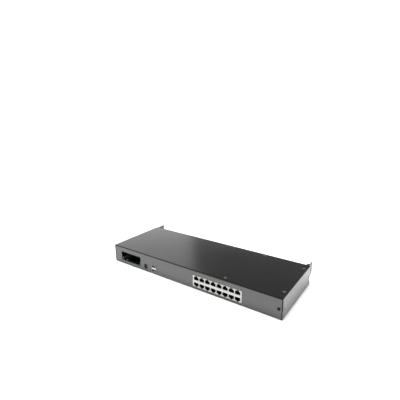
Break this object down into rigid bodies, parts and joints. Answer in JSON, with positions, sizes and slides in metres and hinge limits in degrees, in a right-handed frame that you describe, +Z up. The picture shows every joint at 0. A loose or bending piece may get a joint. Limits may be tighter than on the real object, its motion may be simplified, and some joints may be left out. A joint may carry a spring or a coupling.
{
  "type": "kvm switch",
  "caption": "Low rack-width steel KVM switch module with two rows of network sockets, a twin USB socket, a DC inlet, an open card bay and docking lugs.",
  "frame": {"origin": "middle of the flat underside, where the module rests", "axes": "+X to the right along the port face as seen from in front of the sockets, +Y from the port face to the docking face, +Z up"},
  "size_m": [0.44, 0.1818, 0.0436],
  "materials": {
    "case_paint": "fine-grained satin black powder coat",
    "bracket_paint": "satin black paint on folded steel",
    "black_screw": "black plated steel",
    "tinned_steel": "bright tinned sheet",
    "jack_plastic": "black glass-filled plastic",
    "board_laminate": "dark green solder mask on laminate",
    "chip_moulding": "black epoxy moulding",
    "can_aluminium": "bare drawn aluminium can",
    "zinc_steel": "bright zinc plate",
    "black_anodised": "black anodised"
  },
  "bodies": {
    "root": {"base_tray": "case_paint", "top_cover": "case_paint", "left_docking_lug": "bracket_paint", "right_docking_lug": "bracket_paint", "corner_bracket": "bracket_paint", "cover_screw_1": "black_screw", "cover_screw_2": "black_screw", "cover_screw_3": "black_screw", "cover_screw_4": "black_screw", "cover_screw_5": "black_screw", "left_lug_screw_upper": "black_screw", "left_lug_screw_lower": "black_screw", "right_lug_screw_upper": "black_screw", "right_lug_screw_lower": "black_screw", "corner_side_screw": "black_screw", "corner_rear_screw": "black_screw", "port_shield": "tinned_steel", "usb_shell": "tinned_steel", "dock_shell": "tinned_steel", "dc_jack_pin": "tinned_steel", "crystal": "tinned_steel", "port_pair_1": "jack_plastic", "port_pair_2": "jack_plastic", "port_pair_3": "jack_plastic", "port_pair_4": "jack_plastic", "port_pair_5": "jack_plastic", "port_pair_6": "jack_plastic", "port_pair_7": "jack_plastic", "port_pair_8": "jack_plastic", "usb_tongues": "jack_plastic", "dc_jack_body": "jack_plastic", "left_guide_rail": "jack_plastic", "right_guide_rail": "jack_plastic", "bay_socket": "jack_plastic", "dock_insulator": "jack_plastic", "dock_header": "jack_plastic", "main_board": "board_laminate", "dock_board": "board_laminate", "processor": "chip_moulding", "switch_chip_1": "chip_moulding", "switch_chip_2": "chip_moulding", "memory_chip": "chip_moulding", "inductor": "chip_moulding", "capacitor_1": "can_aluminium", "capacitor_2": "can_aluminium", "standoff_1": "zinc_steel", "standoff_2": "zinc_steel", "standoff_3": "zinc_steel", "standoff_4": "zinc_steel", "standoff_5": "zinc_steel", "standoff_6": "zinc_steel", "board_screw_1": "zinc_steel", "board_screw_2": "zinc_steel", "board_screw_3": "zinc_steel", "board_screw_4": "zinc_steel", "board_screw_5": "zinc_steel", "board_screw_6": "zinc_steel", "dock_jackscrew_left": "zinc_steel", "dock_jackscrew_right": "zinc_steel", "heatsink": "black_anodised"}
  },
  "joints": []
}
